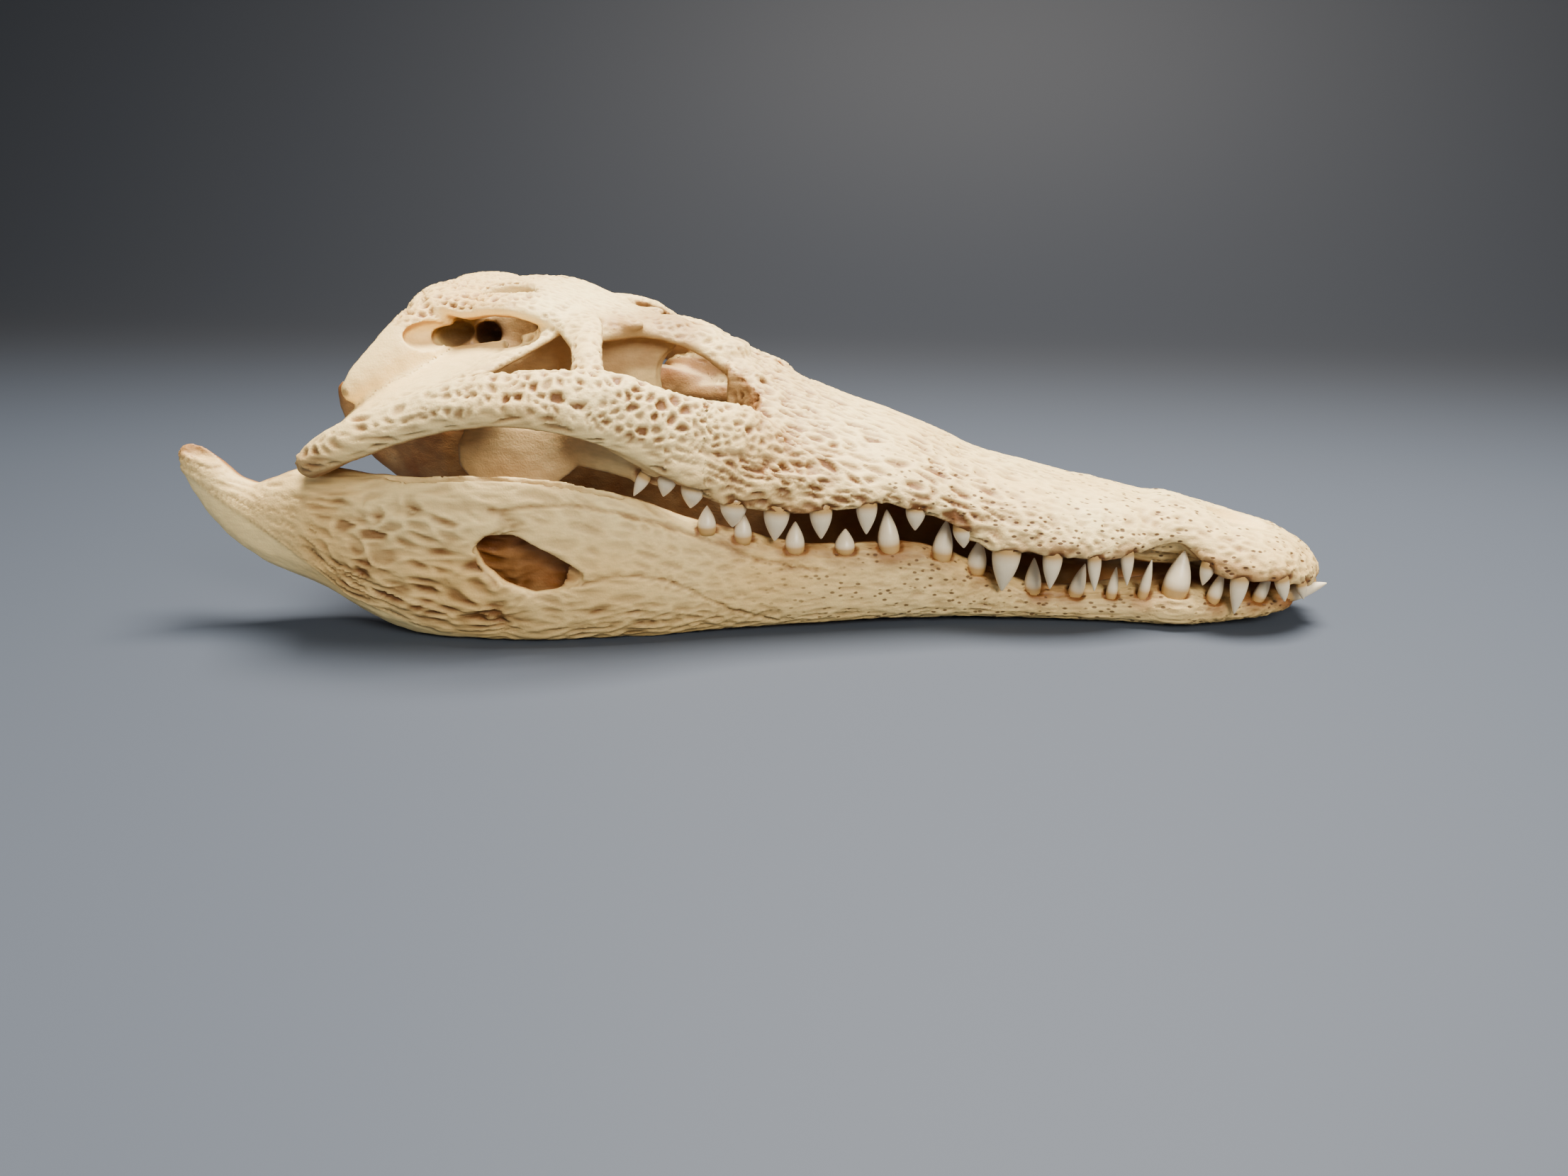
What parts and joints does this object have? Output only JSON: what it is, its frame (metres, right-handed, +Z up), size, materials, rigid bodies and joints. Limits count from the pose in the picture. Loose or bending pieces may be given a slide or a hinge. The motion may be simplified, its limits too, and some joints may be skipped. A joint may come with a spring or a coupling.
{
  "type": "crocodile skull",
  "caption": "Dry, cleaned skull of a young crocodile with its lower jaw in place, lying on a flat surface with the mouth nearly shut.",
  "frame": {"origin": "on the floor, in the middle of the box round the skull", "axes": "+X out through the tip of the snout, +Y to the animal's left, +Z up"},
  "size_m": [0.3584, 0.1422, 0.1044],
  "materials": {
    "snout_bone": "dry cleaned bone, matt",
    "cranium_bone": "dry cleaned bone, matt",
    "palate_bone": "dry cleaned bone, stained, matt",
    "cheek_bone": "dry cleaned bone, pitted, matt",
    "jaw_bone": "dry cleaned bone, stained at the rear, matt"
  },
  "bodies": {
    "root": {"snout": "snout_bone", "cranium": "cranium_bone", "palate": "palate_bone", "cheek_right": "cheek_bone", "cheek_left": "cheek_bone", "mandible_right": "jaw_bone", "mandible_left": "jaw_bone"}
  },
  "joints": []
}
